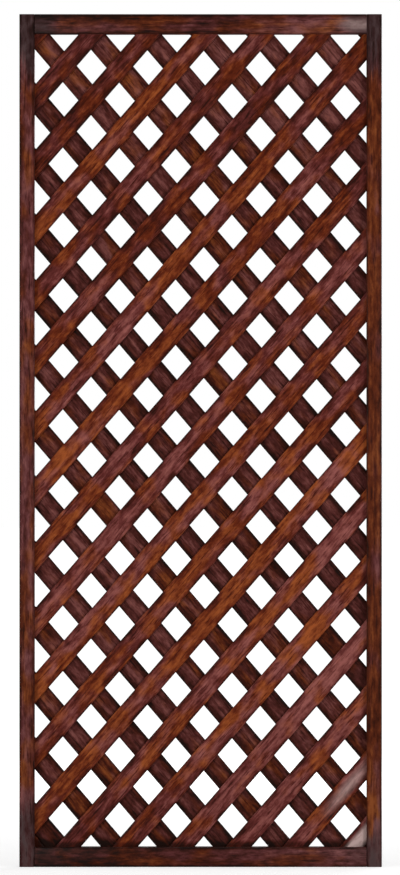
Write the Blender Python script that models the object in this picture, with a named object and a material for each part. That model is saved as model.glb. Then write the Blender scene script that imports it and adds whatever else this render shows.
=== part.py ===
"""A framed garden screen: two layers of crossed laths held in the grooves of a wooden frame.

X runs to the right, Y away from the viewer and Z up. The origin is in the middle of the underside.
Lengths are in metres and angles in degrees. The front of the screen faces -Y.
"""

import math

import bmesh
import bpy
from mathutils import Matrix, Vector

# Frame: two stiles run the full height, and two rails fit between them
SCREEN_WIDTH = 0.765
SCREEN_HEIGHT = 1.800
FRAME_DEPTH = 0.040
STILE_WIDTH = 0.032
RAIL_WIDTH = 0.042
FRAME_EDGE_ROUND = 0.0025

# Groove along the inner edge of all four members, which holds the ends of the laths
GROOVE_DEPTH = 0.012

# Laths of both layers
LATH_THICKNESS = 0.008
LATH_EDGE_ROUND = 0.002

# Front layer, which rises to the right: the first lath is centred on the opening's top left corner,
# and the last one lies this far inside the bottom right corner, with the rest evenly between them
FRONT_LATH_COUNT = 19
FRONT_LATH_WIDTH = 0.041
FRONT_LATH_ANGLE = 49.0
FRONT_LAST_INSET = 0.0225

# Back layer, which rises to the left: the first lath lies this far inside the bottom left corner,
# and the last one is centred this far outside the top right corner
BACK_LATH_COUNT = 19
BACK_LATH_WIDTH = 0.045
BACK_LATH_ANGLE = 49.5
BACK_FIRST_INSET = 0.039
BACK_LAST_OVERHANG = 0.008

# Strip of lath wood beside the first back lath, which closes the opening's bottom left corner
CORNER_STRIP_WIDTH = 0.030

# Countersunk screws, two through each stile into each rail end
SCREW_LENGTH = 0.070
SCREW_SHANK_RADIUS = 0.0022
SCREW_HEAD_RADIUS = 0.0042
SCREW_HEAD_HEIGHT = 0.0028
SCREW_POINT_LENGTH = 0.007
SCREW_SINK = 0.0006
SCREW_SPACING = 0.014
DRIVE_CROSS_SPAN = 0.0046
DRIVE_CROSS_WIDTH = 0.0012
DRIVE_CROSS_DEPTH = 0.0016

# Clearances
FIT_GAP = 0.0003
GROOVE_END_GAP = 0.001
CUTTER_OVERRUN = 0.005

# Fineness of the round shapes
SCREW_SIDES = 16
EDGE_ROUND_STEPS = 2
SMOOTH_ANGLE = math.radians(40)

# Stain tones and the screws' zinc, as sRGB hex
STILE_TONE = "5B3129"
RAIL_TONE = "52302A"
FRONT_LATH_TONE = "7C4132"
BACK_LATH_TONE = "4C2721"
ZINC_TONE = "A7A39A"

# Sizes that follow from the ones above
OPENING_WIDTH = SCREEN_WIDTH - 2 * STILE_WIDTH
OPENING_HEIGHT = SCREEN_HEIGHT - 2 * RAIL_WIDTH
OPENING_HALF_WIDTH = OPENING_WIDTH / 2
OPENING_MIDDLE_Z = RAIL_WIDTH + OPENING_HEIGHT / 2
GROOVE_WIDTH = 2 * LATH_THICKNESS + 3 * FIT_GAP
GROOVE_REACH = GROOVE_DEPTH - GROOVE_END_GAP
TONGUE_THICKNESS = GROOVE_WIDTH - 2 * FIT_GAP
TONGUE_HEIGHT = RAIL_WIDTH - GROOVE_DEPTH
LAYER_OFFSET = (LATH_THICKNESS + FIT_GAP) / 2

ALONG_X = Vector((1, 0, 0))
ALONG_Z = Vector((0, 0, 1))


def clear_scene():
    """Remove whatever objects the scene holds."""
    for old_object in list(bpy.data.objects):
        bpy.data.objects.remove(old_object, do_unlink=True)


def linear_colour(hex_colour):
    """Turn an sRGB hex colour into the linear colour that a shader takes."""
    channels = [int(hex_colour[start:start + 2], 16) / 255 for start in (0, 2, 4)]
    linear = [c / 12.92 if c <= 0.04045 else ((c + 0.055) / 1.055) ** 2.4 for c in channels]
    return (*linear, 1.0)


def make_material(name, hex_colour, roughness, metallic=0.0):
    """Return a plain material."""
    material = bpy.data.materials.new(name)
    material.use_nodes = True
    shader = material.node_tree.nodes["Principled BSDF"]
    shader.inputs["Base Color"].default_value = linear_colour(hex_colour)
    shader.inputs["Roughness"].default_value = roughness
    shader.inputs["Metallic"].default_value = metallic
    return material


def make_assembly(name):
    """Return an empty that carries the pieces of one assembly."""
    assembly = bpy.data.objects.new(name, None)
    bpy.context.scene.collection.objects.link(assembly)
    return assembly


def make_object(name, shape, material=None, parent=None):
    """Turn a bmesh into an object in the scene."""
    bmesh.ops.recalc_face_normals(shape, faces=shape.faces)
    mesh = bpy.data.meshes.new(name)
    shape.to_mesh(mesh)
    shape.free()
    mesh.shade_smooth()
    mesh.set_sharp_from_angle(angle=SMOOTH_ANGLE)
    if material:
        mesh.materials.append(material)
    new_object = bpy.data.objects.new(name, mesh)
    new_object.parent = parent
    bpy.context.scene.collection.objects.link(new_object)
    return new_object


def make_cutter(name, shape):
    """Turn a bmesh into a guide that only cuts other pieces."""
    cutter = make_object(name, shape)
    cutter.hide_render = True
    cutter.display_type = "WIRE"
    return cutter


def cut(piece, cutter):
    """Take the cutter's volume out of the piece."""
    modifier = piece.modifiers.new(cutter.name, "BOOLEAN")
    modifier.operation = "DIFFERENCE"
    modifier.solver = "EXACT"
    modifier.object = cutter


def box_shape(corner, opposite_corner):
    """Return a box between any two opposite corners."""
    corner = Vector(corner)
    diagonal = Vector(opposite_corner) - corner
    shape = bmesh.new()
    bmesh.ops.create_cube(shape, size=1.0)
    bmesh.ops.scale(shape, vec=[abs(side) for side in diagonal], verts=shape.verts)
    bmesh.ops.translate(shape, vec=corner + diagonal / 2, verts=shape.verts)
    return shape


def board_shape(size, grain_direction, edge_round):
    """Return a board centred on its origin, with the four edges along its grain rounded."""
    half_size = Vector(size) / 2
    shape = box_shape(-half_size, half_size)
    long_edges = []
    for edge in shape.edges:
        edge_direction = (edge.verts[1].co - edge.verts[0].co).normalized()
        if abs(edge_direction.dot(grain_direction)) > 0.9:
            long_edges.append(edge)
    bmesh.ops.bevel(shape, geom=long_edges, offset=edge_round, segments=EDGE_ROUND_STEPS,
                    profile=0.5, affect="EDGES")
    return shape


def turned_shape(profile):
    """Spin a profile of (radius, height) points about Z into a closed solid."""
    shape = bmesh.new()
    points = [shape.verts.new((radius, 0, height)) for radius, height in profile]
    edges = [shape.edges.new(pair) for pair in zip(points, points[1:])]
    bmesh.ops.spin(shape, geom=points + edges, cent=(0, 0, 0), axis=(0, 0, 1),
                   angle=2 * math.pi, steps=SCREW_SIDES)
    bmesh.ops.remove_doubles(shape, verts=shape.verts, dist=1e-6)
    return shape


def cross_shape(span, width, depth):
    """Return a cross-shaped plug that reaches from just above Z = 0 down to the depth."""
    reach = span / 2
    arm = width / 2
    corner = [(reach, arm), (arm, arm), (arm, reach)]
    outline = []
    for quarter in range(4):
        turn = Matrix.Rotation(quarter * math.pi / 2, 2)
        outline += [turn @ Vector(point) for point in corner]
    shape = bmesh.new()
    face = shape.faces.new([shape.verts.new((x, y, CUTTER_OVERRUN)) for x, y in outline])
    pulled = bmesh.ops.extrude_face_region(shape, geom=[face])["geom"]
    pulled_points = [item for item in pulled if isinstance(item, bmesh.types.BMVert)]
    bmesh.ops.translate(shape, vec=(0, 0, -depth - CUTTER_OVERRUN), verts=pulled_points)
    return shape


def saw_off(shape, point, outward):
    """Saw the shape along a plane, drop what lies outwards of it and close the cut."""
    geometry = shape.verts[:] + shape.edges[:] + shape.faces[:]
    bmesh.ops.bisect_plane(shape, geom=geometry, plane_co=point, plane_no=outward, clear_outer=True)
    cut_edges = [edge for edge in shape.edges if edge.is_boundary]
    bmesh.ops.holes_fill(shape, edges=cut_edges)


def make_stile(name, side, material, parent):
    """Make an upright of the frame; side is -1 for the left one and +1 for the right one."""
    board = board_shape((STILE_WIDTH, FRAME_DEPTH, SCREEN_HEIGHT), ALONG_Z, FRAME_EDGE_ROUND)
    stile = make_object(name, board, material, parent)
    stile.location = (side * (OPENING_HALF_WIDTH + STILE_WIDTH / 2), 0, SCREEN_HEIGHT / 2)
    groove = box_shape(
        (side * (OPENING_HALF_WIDTH - CUTTER_OVERRUN), -GROOVE_WIDTH / 2, -CUTTER_OVERRUN),
        (side * (OPENING_HALF_WIDTH + GROOVE_DEPTH), GROOVE_WIDTH / 2, SCREEN_HEIGHT + CUTTER_OVERRUN),
    )
    cut(stile, make_cutter(name + "_groove", groove))
    return stile


def make_rail(name, level, material, parent):
    """Make a cross member with a tongue at each end; level is -1 at the bottom and +1 at the top."""
    half_length = OPENING_HALF_WIDTH + GROOVE_REACH
    shoulder_x = OPENING_HALF_WIDTH - FIT_GAP
    inner_z = OPENING_MIDDLE_Z + level * OPENING_HEIGHT / 2
    outer_z = inner_z + level * RAIL_WIDTH
    board = board_shape((2 * half_length, FRAME_DEPTH, RAIL_WIDTH), ALONG_X, FRAME_EDGE_ROUND)
    rail = make_object(name, board, material, parent)
    rail.location = (0, 0, (inner_z + outer_z) / 2)

    groove = box_shape(
        (-half_length - CUTTER_OVERRUN, -GROOVE_WIDTH / 2, inner_z - level * CUTTER_OVERRUN),
        (half_length + CUTTER_OVERRUN, GROOVE_WIDTH / 2, inner_z + level * GROOVE_DEPTH),
    )
    cut(rail, make_cutter(name + "_groove", groove))

    for end_name, end in (("left", -1), ("right", 1)):
        for face_name, face in (("front", -1), ("back", 1)):
            waste = box_shape(
                (end * shoulder_x, face * TONGUE_THICKNESS / 2, inner_z - level * CUTTER_OVERRUN),
                (end * (half_length + CUTTER_OVERRUN), face * (FRAME_DEPTH / 2 + CUTTER_OVERRUN),
                 outer_z + level * CUTTER_OVERRUN),
            )
            cut(rail, make_cutter(f"{name}_{end_name}_{face_name}_waste", waste))
    return rail


def make_lath(name, centre, angle, width, material, parent):
    """Make one lath through a point of its centre line, trimmed all round to the grooves."""
    back_turn = Matrix.Rotation(angle, 3, "Y")
    uncut_length = 2 * (SCREEN_WIDTH + SCREEN_HEIGHT)
    board = board_shape((uncut_length, LATH_THICKNESS, width), ALONG_X, LATH_EDGE_ROUND)
    reach_x = OPENING_WIDTH / 2 + GROOVE_REACH
    reach_z = OPENING_HEIGHT / 2 + GROOVE_REACH
    opening_middle = Vector((0, 0, OPENING_MIDDLE_Z))
    for outward, reach in ((ALONG_X, reach_x), (-ALONG_X, reach_x), (ALONG_Z, reach_z), (-ALONG_Z, reach_z)):
        trim_point = opening_middle + outward * reach
        saw_off(board, back_turn @ (trim_point - centre), back_turn @ outward)
    lath = make_object(name, board, material, parent)
    lath.location = centre
    lath.rotation_euler = (0, -angle, 0)
    return lath


def across_laths(angle):
    """Return the direction square across laths, from the left ones to the right ones."""
    across = Vector((math.sin(angle), 0, -math.cos(angle)))
    if across.x < 0:
        across.negate()
    return across


def half_spread(across):
    """Return how far the opening's outer corners lie from its middle, measured across the laths."""
    return (OPENING_WIDTH * abs(across.x) + OPENING_HEIGHT * abs(across.z)) / 2


def make_layer(name, count, width, angle, insets, layer_y, material, parent):
    """Make all laths of one layer, numbered from the left and evenly spaced.

    The insets say how far inside the opening's corners the centre lines of the first and the last
    lath lie, measured square across the laths.
    """
    across = across_laths(angle)
    first = insets[0] - half_spread(across)
    last = half_spread(across) - insets[1]
    for number in range(count):
        distance = first + (last - first) * number / (count - 1)
        centre = Vector((0, layer_y, OPENING_MIDDLE_Z)) + across * distance
        make_lath(f"{name}_{number + 1:02d}", centre, angle, width, material, parent)


def make_corner_strip(angle, material, parent):
    """Make the strip that lies beside the first back lath, in the same layer."""
    across = across_laths(angle)
    lath_edge_inset = BACK_FIRST_INSET - BACK_LATH_WIDTH / 2
    distance = lath_edge_inset - FIT_GAP - CORNER_STRIP_WIDTH / 2 - half_spread(across)
    centre = Vector((0, LAYER_OFFSET, OPENING_MIDDLE_Z)) + across * distance
    make_lath("corner_strip", centre, angle, CORNER_STRIP_WIDTH, material, parent)


def screw_profile(gap=0.0):
    """Return a screw's outline from the tip to the head, or with a gap the outline of its hole."""
    tip_z = -SCREW_LENGTH - gap
    shank_end_z = -SCREW_LENGTH + SCREW_POINT_LENGTH
    outline = [
        (0, tip_z),
        (SCREW_SHANK_RADIUS + gap, shank_end_z),
        (SCREW_SHANK_RADIUS + gap, -SCREW_HEAD_HEIGHT),
        (SCREW_HEAD_RADIUS + gap, 0),
    ]
    if gap:
        outline.append((SCREW_HEAD_RADIUS + gap, SCREW_SINK + CUTTER_OVERRUN))
    outline.append((0, outline[-1][1]))
    return outline


def make_screw(name, side, height, material, parent):
    """Make a screw driven in through a stile's outer edge, and return it with its hole's cutter."""
    head = Vector((side * (SCREEN_WIDTH / 2 - SCREW_SINK), 0, height))
    turn = (0, side * math.pi / 2, 0)
    screw = make_object(name, turned_shape(screw_profile()), material, parent)
    hole = make_cutter(name + "_hole", turned_shape(screw_profile(FIT_GAP)))
    drive = make_cutter(name + "_drive", cross_shape(DRIVE_CROSS_SPAN, DRIVE_CROSS_WIDTH, DRIVE_CROSS_DEPTH))
    for part in (screw, hole, drive):
        part.location = head
        part.rotation_euler = turn
    cut(screw, drive)
    return hole


def make_frame(parent):
    """Make the four members of the frame and the screws that join them."""
    stile_wood = make_material("stained_stile", STILE_TONE, 0.42)
    rail_wood = make_material("stained_rail", RAIL_TONE, 0.42)
    zinc = make_material("zinc_plated_steel", ZINC_TONE, 0.35, metallic=1.0)
    stiles = {
        "left": make_stile("stile_left", -1, stile_wood, parent),
        "right": make_stile("stile_right", 1, stile_wood, parent),
    }
    rails = {
        "bottom": make_rail("rail_bottom", -1, rail_wood, parent),
        "top": make_rail("rail_top", 1, rail_wood, parent),
    }
    tongue_middle = {"bottom": TONGUE_HEIGHT / 2, "top": SCREEN_HEIGHT - TONGUE_HEIGHT / 2}
    for side_name, side in (("left", -1), ("right", 1)):
        for rail_name, rail in rails.items():
            for place, step in (("lower", -1), ("upper", 1)):
                height = tongue_middle[rail_name] + step * SCREW_SPACING / 2
                hole = make_screw(f"screw_{rail_name}_{side_name}_{place}", side, height, zinc, parent)
                cut(stiles[side_name], hole)
                cut(rail, hole)


def make_lattice(parent):
    """Make both layers of laths."""
    front_wood = make_material("stained_front_lath", FRONT_LATH_TONE, 0.38)
    back_wood = make_material("stained_back_lath", BACK_LATH_TONE, 0.45)
    make_layer("front_lath", FRONT_LATH_COUNT, FRONT_LATH_WIDTH, math.radians(FRONT_LATH_ANGLE),
               (0, FRONT_LAST_INSET), -LAYER_OFFSET, front_wood, parent)
    make_layer("back_lath", BACK_LATH_COUNT, BACK_LATH_WIDTH, -math.radians(BACK_LATH_ANGLE),
               (BACK_FIRST_INSET, -BACK_LAST_OVERHANG), LAYER_OFFSET, back_wood, parent)
    make_corner_strip(-math.radians(BACK_LATH_ANGLE), back_wood, parent)


def main():
    """Build the whole screen."""
    clear_scene()
    make_frame(make_assembly("frame"))
    make_lattice(make_assembly("lattice"))


main()
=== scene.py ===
"""Looks of a framed lattice garden screen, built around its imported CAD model.

X runs to the right, Y away from the viewer and Z up, in metres, as in the CAD model. The front of the
screen faces -Y. Every wooden piece, screw and staple is a finished mesh with its place in its own
coordinates, and the studio round it is a floor, a white world, four soft lamps and a camera.
"""

import logging
import math
import random
from abc import ABC, abstractmethod
from collections.abc import Callable, Iterator, Sequence
from dataclasses import dataclass, field, replace
from enum import Enum
from functools import partial
from itertools import product
from typing import Any

import bmesh
import bpy
from bpy.types import Material, Node, NodeSocket, NodeTree, Object
from mathutils import Matrix, Vector


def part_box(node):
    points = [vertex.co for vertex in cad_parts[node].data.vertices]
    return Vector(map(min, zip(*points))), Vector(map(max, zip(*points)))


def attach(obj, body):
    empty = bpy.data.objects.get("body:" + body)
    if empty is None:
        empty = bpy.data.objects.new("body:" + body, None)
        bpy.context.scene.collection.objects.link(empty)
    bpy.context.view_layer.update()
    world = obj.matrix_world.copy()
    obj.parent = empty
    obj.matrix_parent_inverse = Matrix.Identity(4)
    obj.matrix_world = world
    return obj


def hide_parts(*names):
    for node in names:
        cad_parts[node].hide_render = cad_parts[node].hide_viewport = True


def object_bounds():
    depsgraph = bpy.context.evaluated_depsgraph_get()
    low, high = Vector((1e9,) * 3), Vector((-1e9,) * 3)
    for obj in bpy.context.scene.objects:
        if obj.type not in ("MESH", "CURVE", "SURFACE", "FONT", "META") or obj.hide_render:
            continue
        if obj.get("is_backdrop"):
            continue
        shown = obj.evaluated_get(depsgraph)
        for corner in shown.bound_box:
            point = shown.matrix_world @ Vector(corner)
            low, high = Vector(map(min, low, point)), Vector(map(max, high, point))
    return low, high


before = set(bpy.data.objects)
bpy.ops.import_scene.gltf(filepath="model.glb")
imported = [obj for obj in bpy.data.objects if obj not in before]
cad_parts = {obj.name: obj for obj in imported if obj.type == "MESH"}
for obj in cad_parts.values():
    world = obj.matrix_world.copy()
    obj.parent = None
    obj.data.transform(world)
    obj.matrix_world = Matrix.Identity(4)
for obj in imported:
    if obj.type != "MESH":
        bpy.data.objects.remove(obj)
CAD_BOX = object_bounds()

LOG = logging.getLogger("garden_screen")
BODY = "root"
SEED = 1849

X_AXIS = Vector((1, 0, 0))
Y_AXIS = Vector((0, 1, 0))
Z_AXIS = Vector((0, 0, 1))

# Distances closer than this count as the same place when parts of a mesh are picked
SAME_PLACE = 1e-5

# What a finished mesh is cleaned by, and the angle past which its edges stay crisp
MERGE_DISTANCE = 1e-6
FLAT_ANGLE = math.radians(0.1)
CRISP_ANGLE = math.radians(40)

# Sockets of the Mix node when it mixes colours
MIX_A = 6
MIX_B = 7
MIX_RESULT = 2

# The wave node draws the sine of this many times the distance
WAVE_FACTOR = 20

# What makes a node go from one value to the other in a soft step
SMOOTH = {"interpolation_type": "SMOOTHSTEP"}

Pair = tuple[float, float]
NodeInputs = Sequence[Any] | dict[str | int, Any]
NodeAdder = Callable[..., Node]


class Side(Enum):
    """The two sides of the screen, as seen from the front."""

    LEFT = -1
    RIGHT = 1


class Level(Enum):
    """The two ends of the screen's height."""

    BOTTOM = -1
    TOP = 1


class Layer(Enum):
    """The two layers of laths, by the side of the screen that they face."""

    FRONT = -1
    BACK = 1


class Element(Enum):
    """What is picked in edit mode, under the names that the bevel and the selection use."""

    VERTICES = "VERT"
    EDGES = "EDGE"
    FACES = "FACE"


@dataclass(frozen=True)
class ScreenSizes:
    """The sizes that the pieces share."""

    width: float = 0.765
    height: float = 1.800
    depth: float = 0.040
    stile_width: float = 0.032
    rail_width: float = 0.042
    groove_depth: float = 0.012
    groove_end_gap: float = 0.001
    lath_thickness: float = 0.008
    fit_gap: float = 0.0003

    @property
    def opening_half_width(self) -> float:
        """Half the clear width between the stiles."""
        return self.width / 2 - self.stile_width

    @property
    def opening_height(self) -> float:
        """The clear height between the rails."""
        return self.height - 2 * self.rail_width

    @property
    def middle_height(self) -> float:
        """The height of the opening's middle."""
        return self.height / 2

    @property
    def groove_half_width(self) -> float:
        """Half the groove's width: one layer of laths, a gap beside it and half the gap between the two."""
        return self.lath_thickness + self.fit_gap + self.fit_gap / 2

    @property
    def groove_reach(self) -> float:
        """How far the laths and the rails' tongues go into the grooves."""
        return self.groove_depth - self.groove_end_gap

    @property
    def layer_offset(self) -> float:
        """How far each layer's middle lies in front of or behind the screen's middle."""
        return (self.lath_thickness + self.fit_gap) / 2


@dataclass(frozen=True)
class StainTone:
    """How one board took the stain, and how much painted sheen lies on it: each value is added to the
    pattern that its finish draws.
    """

    light: float = 0.0
    warm: float = 0.0
    haze: float = 0.0


def linear_colour(hex_colour: str) -> tuple[float, float, float, float]:
    """Turn an sRGB hex colour into linear values, with the constants of the sRGB standard.

    Args:
        hex_colour: six hex digits.

    Returns:
        Red, green, blue and an alpha of 1.
    """
    channels = [int(hex_colour[start : start + 2], 16) / 255 for start in (0, 2, 4)]
    red, green, blue = (c / 12.92 if c <= 0.04045 else ((c + 0.055) / 1.055) ** 2.4 for c in channels)
    return (red, green, blue, 1.0)


def feed(node: Node, inputs: NodeInputs) -> None:
    """Set or link a node's inputs.

    Args:
        node: the node.
        inputs: a value, a socket or a node for each input, in order or by its name or number. A node is
            linked from its first output.
    """
    for socket, value in inputs.items() if isinstance(inputs, dict) else enumerate(inputs):
        if isinstance(value, Node):
            value = value.outputs[0]
        if isinstance(value, NodeSocket):
            node.id_data.links.new(value, node.inputs[socket])
        else:
            node.inputs[socket].default_value = value


def add_node(tree: NodeTree, kind: str, inputs: NodeInputs = (), **settings: Any) -> Node:
    """Add a node with its settings, values and links.

    Args:
        tree: the material's or the world's node tree.
        kind: Blender's name of the node type, without its common first part.
        inputs: what is fed to the node's inputs.
        settings: the node's own settings.

    Returns:
        The new node.
    """
    node = tree.nodes.new("ShaderNode" + kind)
    for name, value in settings.items():
        setattr(node, name, value)
    feed(node, inputs)
    return node


def new_material(name: str) -> tuple[Material, NodeAdder, Node]:
    """Start a material.

    Args:
        name: the material's name.

    Returns:
        The material, add_node bound to its node tree, and its main shader.
    """
    material = bpy.data.materials.new(name)
    material.use_nodes = True
    tree = material.node_tree
    return material, partial(add_node, tree), tree.nodes["Principled BSDF"]


def deselect_all() -> None:
    """Leave edit mode and select nothing."""
    if bpy.context.mode != "OBJECT":
        bpy.ops.object.mode_set(mode="OBJECT")
    bpy.ops.object.select_all(action="DESELECT")


def take_up(piece: Object) -> None:
    """Select one piece alone and make it the active one.

    Args:
        piece: the piece.
    """
    deselect_all()
    piece.select_set(True)
    bpy.context.view_layer.objects.active = piece


def settle(piece: Object) -> None:
    """Move a piece's place, turn and scale into its mesh."""
    take_up(piece)
    bpy.ops.object.transform_apply(location=True, rotation=True, scale=True)


def pick_all() -> None:
    """Select the whole open mesh."""
    bpy.ops.mesh.select_all(action="SELECT")


def open_blank(name: str, scale: tuple[float, float, float] = (1, 1, 1)) -> Object:
    """Name the primitive that was just added, bring it to size and open it in edit mode.

    Args:
        name: the piece's name.
        scale: its size over the primitive's, along the primitive's own axes.

    Returns:
        The new piece, with its whole mesh selected.
    """
    piece = bpy.context.active_object
    piece.name = name
    piece.data.name = name
    piece.scale = scale
    settle(piece)
    bpy.ops.object.mode_set(mode="EDIT")
    pick_all()
    return piece


def middle_of(item: Any) -> Vector:
    """Find the middle of a vertex, an edge or a face of an open mesh."""
    corners = getattr(item, "verts", (item,))
    return sum((corner.co for corner in corners), Vector()) / len(corners)


def lies_on(distance: float, places: Sequence[float]) -> bool:
    """Say whether a distance is the same place as one of several."""
    return min(abs(distance - place) for place in places) < SAME_PLACE


def pick(element: Element, wanted: Callable[[Vector], bool]) -> None:
    """Select the parts of the open mesh whose middles pass a test.

    Args:
        element: vertices, edges or faces.
        wanted: takes the middle of a part and says whether it is picked.
    """
    bpy.ops.mesh.select_all(action="DESELECT")
    bpy.ops.mesh.select_mode(type=element.value)
    mesh = bpy.context.edit_object.data
    shape = bmesh.from_edit_mesh(mesh)
    items = {Element.VERTICES: shape.verts, Element.EDGES: shape.edges, Element.FACES: shape.faces}[element]
    for item in items:
        item.select_set(bool(wanted(middle_of(item))))
    shape.select_flush_mode()
    bmesh.update_edit_mesh(mesh)


def round_off(element: Element, wanted: Callable[[Vector], bool], offset: float, steps: int = 2) -> None:
    """Bevel a flat section's corners or a solid's edges, those whose middles pass a test."""
    pick(element, wanted)
    bpy.ops.mesh.bevel(offset=offset, segments=steps, affect=element.name)


def score(point: Vector, normal: Vector) -> None:
    """Cut an edge line along a plane across what is selected, and select the whole mesh."""
    bpy.ops.mesh.bisect(plane_co=point, plane_no=normal, use_fill=False)
    pick_all()


def draw_out(distance: Vector) -> None:
    """Extrude what is selected by a distance."""
    bpy.ops.mesh.extrude_region_move(TRANSFORM_OT_translate={"value": tuple(distance)})


def face_outwards(piece: Object) -> None:
    """Turn all faces outwards, leave edit mode and take the piece up.

    Args:
        piece: the piece that is open in edit mode.
    """
    pick_all()
    bpy.ops.mesh.normals_make_consistent(inside=False)
    take_up(piece)


def close_up(piece: Object, crisp_angle: float = CRISP_ANGLE) -> None:
    """Clean an open mesh, turn its faces outwards and smooth what is meant to be round.

    Args:
        piece: the piece that is open in edit mode.
        crisp_angle: edges sharper than this stay crisp.
    """
    bpy.ops.mesh.select_mode(type="VERT")
    pick_all()
    bpy.ops.mesh.remove_doubles(threshold=MERGE_DISTANCE)
    bpy.ops.mesh.dissolve_limited(angle_limit=FLAT_ANGLE)
    face_outwards(piece)
    bpy.ops.object.shade_smooth_by_angle(angle=crisp_angle)


def cut_away(piece: Object, cutter: Object) -> None:
    """Take a cutter's volume out of a piece.

    Args:
        piece: the finished piece, in object mode.
        cutter: a closed shape, which stays as it is.
    """
    take_up(piece)
    modifier = piece.modifiers.new("cut", "BOOLEAN")
    modifier.operation = "DIFFERENCE"
    modifier.solver = "EXACT"
    modifier.object = cutter
    bpy.ops.object.modifier_apply(modifier=modifier.name)


def copy_of(piece: Object, name: str) -> Object:
    """Copy a piece together with its mesh.

    Args:
        piece: the piece to copy.
        name: the copy's name.

    Returns:
        The copy, selected and active.
    """
    take_up(piece)
    bpy.ops.object.duplicate(linked=False)
    copy = bpy.context.active_object
    copy.name = name
    copy.data.name = name
    return copy


def throw_away(piece: Object) -> None:
    """Remove a pattern or a cutter that has done its work."""
    bpy.data.objects.remove(piece, do_unlink=True)


def hand_over(piece: Object, slot: str, node: str = "") -> None:
    """Let a finished piece ride on the part's body, stand for its CAD node and be reported.

    Args:
        piece: the finished piece.
        slot: the name of a material slot, which is not used.
        node: the CAD node that the piece stands for, where there is one.
    """
    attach(piece, BODY)
    drift = 0.0
    if node:
        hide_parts(node)
        for limit, cad_corner in zip((min, max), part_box(node)):
            for axis in range(3):
                reach = limit(corner[axis] for corner in piece.bound_box)
                drift = max(drift, abs(reach - cad_corner[axis]))
    LOG.info("%s: %d faces, %.2f mm from its CAD box", piece.name, len(piece.data.polygons), drift * 1000)


@dataclass(frozen=True)
class LathRow:
    """The evenly spaced centre lines of one layer of laths.

    Across is the direction square to them, first is how far the first line lies along it from the row
    frame's origin, pitch is the distance from line to line, and width is the laths' width.
    """

    across: Vector
    first: float
    pitch: float
    width: float


@dataclass(frozen=True)
class Grain:
    """One layer of noise in the wood, drawn out along the grain.

    Its size is that of a patch across the grain, in metres, and its stretch says how many times longer a
    patch is along the grain. Detail is the number of finer layers that are added, and light is how much the
    layer lightens or darkens the stain.
    """

    size: float
    stretch: float
    detail: float
    light: float = 0.0


@dataclass(frozen=True)
class Trend:
    """A slow change of brightness painted over the screen: none up to the start, all of it past the end.
    Some are painted light and shade, such as the painted shadow of the bottom rail on the laths above it.

    The direction is in the row frame, start and end are distances along it, and light is what the trend
    adds to the stain.
    """

    direction: Vector
    start: float
    end: float
    light: float


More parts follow.
